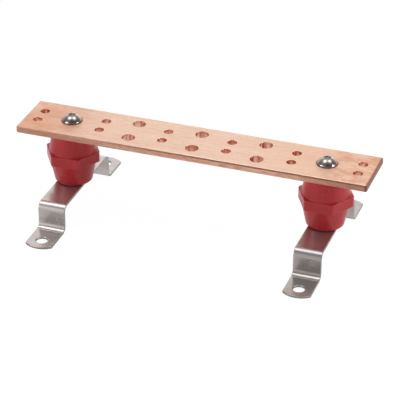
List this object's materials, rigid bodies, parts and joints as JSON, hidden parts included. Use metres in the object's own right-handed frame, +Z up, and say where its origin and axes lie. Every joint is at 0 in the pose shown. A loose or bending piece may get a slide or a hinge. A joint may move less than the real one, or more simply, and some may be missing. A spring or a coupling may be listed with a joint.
{
  "type": "copper busbar",
  "caption": "Drilled copper busbar held by button head screws on red hexagonal stand-off insulators, each seated on a folded stainless hat bracket with a hole in each foot.",
  "frame": {"origin": "midway between the four feet, on the plane that their undersides lie on", "axes": "+X along the copper bar, +Y across it towards the rear feet, +Z up, out of the bar's top face"},
  "size_m": [0.3048, 0.165, 0.0851],
  "materials": {
    "copper": "bare drawn copper with fine lengthwise lines and light oxidation",
    "red_polyester": "semi-gloss moulded polyester",
    "insert_brass": "plain turned brass",
    "stainless_strip": "mill finish stainless strip",
    "screw_steel": "polished stainless"
  },
  "bodies": {
    "root": {"copper_bar": "copper", "insulator_left": "red_polyester", "insulator_right": "red_polyester", "upper_insert_left": "insert_brass", "upper_insert_right": "insert_brass", "lower_insert_left": "insert_brass", "lower_insert_right": "insert_brass", "bracket_left": "stainless_strip", "bracket_right": "stainless_strip", "bar_screw_left": "screw_steel", "bar_screw_right": "screw_steel", "bracket_screw_left": "screw_steel", "bracket_screw_right": "screw_steel"}
  },
  "joints": []
}
